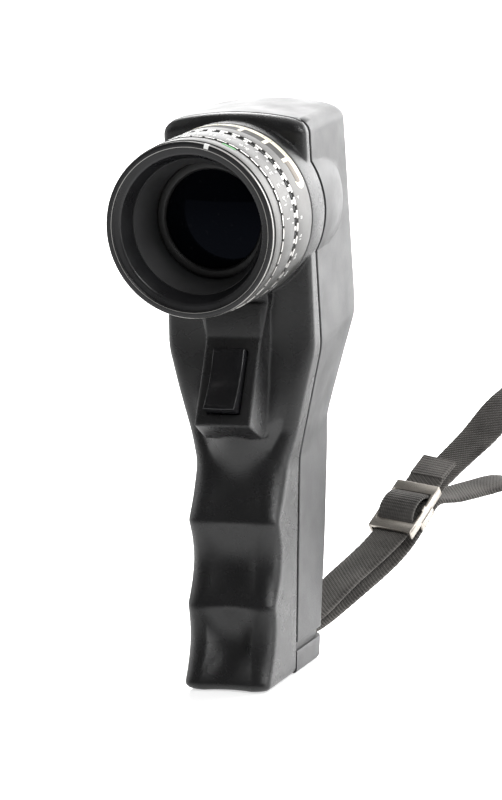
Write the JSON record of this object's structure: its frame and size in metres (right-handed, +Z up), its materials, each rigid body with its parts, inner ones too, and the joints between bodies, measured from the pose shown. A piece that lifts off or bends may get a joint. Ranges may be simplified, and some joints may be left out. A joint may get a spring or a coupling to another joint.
{
  "type": "handheld spot light meter",
  "caption": "Pistol-grip spot light meter with a lens, numbered setting rings, a trigger, an eyepiece and a webbing wrist strap.",
  "frame": {"origin": "middle of the flat base that it stands on", "axes": "+Z up the grip, -Y the way the lens looks, +X to the right for someone who faces the lens"},
  "size_m": [0.0956, 0.1903, 0.1417],
  "materials": {
    "satin_black_plastic": "satin, fine moulded texture",
    "grained_black_plastic": "matte, fine moulded grain",
    "gloss_black_plastic": "polished",
    "black_anodised_metal": "black anodised, worn at the edges",
    "satin_metal": "satin, turned",
    "steel": "plated",
    "nickel": "nickel plated, brushed",
    "brass": "plain",
    "coated_glass": "anti-reflection coated, bluish",
    "cream_scale": "printed scale",
    "circuit_board": "fibreglass board",
    "chip": "moulded",
    "red_display": "tinted",
    "eyecup_rubber": "matte",
    "webbing": "woven",
    "battery_sleeve": "printed sleeve"
  },
  "bodies": {
    "body": {"front_shell": "satin_black_plastic", "rear_shell": "grained_black_plastic", "base_foot": "grained_black_plastic", "filter_ring": "black_anodised_metal", "lens_barrel": "black_anodised_metal", "lens_retainer": "black_anodised_metal", "front_lens": "coated_glass", "field_lens": "coated_glass", "field_stop": "black_anodised_metal", "beam_splitter": "coated_glass", "reticle_glass": "coated_glass", "photocell": "steel", "led_display": "red_display", "circuit_board": "circuit_board", "meter_chip": "chip", "display_chip": "chip", "eyepiece_tube": "black_anodised_metal", "eyepiece_lens": "coated_glass", "switch_body": "chip", "switch_plunger": "brass", "trigger_spring": "steel", "battery": "battery_sleeve", "battery_sleeve": "satin_black_plastic", "battery_contact": "brass", "battery_spring": "steel", "battery_plate": "brass", "shell_screw_1": "steel", "shell_screw_2": "steel", "shell_screw_3": "steel", "shell_screw_4": "steel", "strap_pin": "steel", "strap_tail": "webbing", "strap_loop": "webbing", "strap_buckle": "nickel"},
    "trigger": {"trigger_button": "gloss_black_plastic"},
    "film_speed_ring": {"film_speed_ring": "satin_metal"},
    "aperture_ring": {"aperture_ring": "satin_metal"},
    "shutter_ring": {"shutter_ring": "satin_metal", "scale_band": "cream_scale"},
    "diopter": {"diopter_ring": "black_anodised_metal", "eyecup": "eyecup_rubber"},
    "battery_cap": {"battery_cap": "black_anodised_metal"}
  },
  "joints": [
    {"name": "trigger_press", "type": "slide", "parent": "body", "child": "trigger", "axis": [0, 0.8772, -0.4801], "range_m": [0, 0.002], "stiffness_N_per_m": 600, "springref_m": -0.0015, "deforming": ["trigger_spring"]},
    {"name": "film_speed_ring_turn", "type": "hinge", "parent": "body", "child": "film_speed_ring", "pos_m": [0, 0, 0.118], "axis": [0, 1, 0], "range_deg": [-150, 150]},
    {"name": "aperture_ring_turn", "type": "hinge", "parent": "body", "child": "aperture_ring", "pos_m": [0, 0, 0.118], "axis": [0, 1, 0], "continuous": true},
    {"name": "shutter_ring_turn", "type": "hinge", "parent": "body", "child": "shutter_ring", "pos_m": [0, 0, 0.118], "axis": [0, 1, 0], "continuous": true},
    {"name": "diopter_turn", "type": "hinge", "parent": "body", "child": "diopter", "pos_m": [0, 0, 0.118], "axis": [0, 1, 0], "range_deg": [-60, 60]},
    {"name": "battery_cap_turn", "type": "hinge", "parent": "body", "child": "battery_cap", "pos_m": [0, 0.0084, 0], "axis": [0, 0, 1], "range_deg": [0, 90]}
  ]
}
